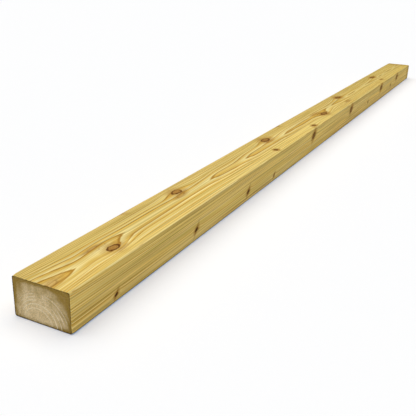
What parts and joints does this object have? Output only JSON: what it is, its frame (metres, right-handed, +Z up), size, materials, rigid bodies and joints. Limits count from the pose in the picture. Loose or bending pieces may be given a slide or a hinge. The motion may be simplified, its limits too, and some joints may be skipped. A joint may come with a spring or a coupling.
{
  "type": "timber stud",
  "caption": "Long planed softwood stud of rectangular section with eased long edges and square-sawn ends, for framing walls and partitions.",
  "frame": {"origin": "middle of the underside, the broad face that the stud lies on", "axes": "+X along the length, +Y across the width, +Z up through the thickness"},
  "size_m": [1.8, 0.07, 0.045],
  "materials": {
    "timber": "planed, pressure-treated pine, matt, yellow with a faint green cast"
  },
  "bodies": {
    "root": {"stud": "timber"}
  },
  "joints": []
}
